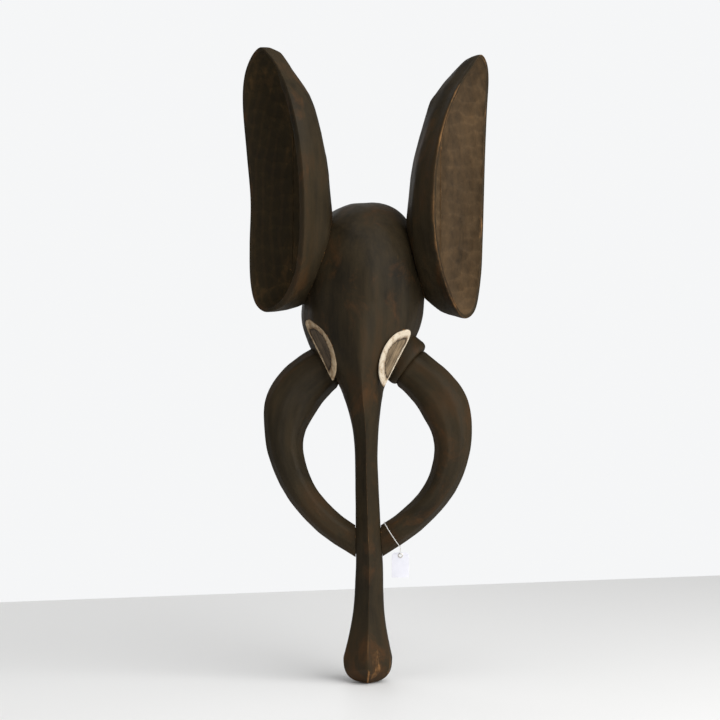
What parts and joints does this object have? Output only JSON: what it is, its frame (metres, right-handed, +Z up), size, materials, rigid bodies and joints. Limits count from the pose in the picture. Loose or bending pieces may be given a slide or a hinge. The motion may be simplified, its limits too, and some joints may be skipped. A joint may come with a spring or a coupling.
{
  "type": "carved wooden mask",
  "caption": "Dark wooden elephant mask with dished ears, curved tusks, a long faceted trunk, white-edged eyes and a blank strung tag.",
  "frame": {"origin": "mouth of the hanging hole, in the flat back of the crown", "axes": "+Z up the trunk towards the ears, +X to the viewer's right as the face is seen, -Y the way the face looks, +Y out of the flat back"},
  "size_m": [0.3397, 0.1274, 0.8868],
  "materials": {
    "stained_wood": "satin",
    "ear_wood": "satin",
    "peg_wood": "matte",
    "white_clay": "matte",
    "cotton": "matte",
    "card": "matte",
    "eyelet_metal": "satin"
  },
  "bodies": {
    "mask": {"head_and_trunk": "stained_wood", "left_ear": "ear_wood", "right_ear": "ear_wood", "left_tusk": "stained_wood", "right_tusk": "stained_wood", "ear_pegs": "peg_wood", "tusk_pegs": "peg_wood", "left_eye_clay": "white_clay", "right_eye_clay": "white_clay", "tusk_string": "cotton"},
    "thread": {"tag_loop": "cotton"},
    "tag": {"tag_card": "card", "tag_eyelet": "eyelet_metal"}
  },
  "joints": [
    {"name": "thread_swing", "type": "hinge", "parent": "mask", "child": "thread", "pos_m": [0.04494, -0.07607, -0.45575], "axis": [1, 0, 0], "range_deg": [-48, 48]},
    {"name": "tag_rock", "type": "hinge", "parent": "thread", "child": "tag", "pos_m": [0.04494, -0.07607, -0.46525], "axis": [0, 1, 0], "range_deg": [-25, 5]}
  ]
}
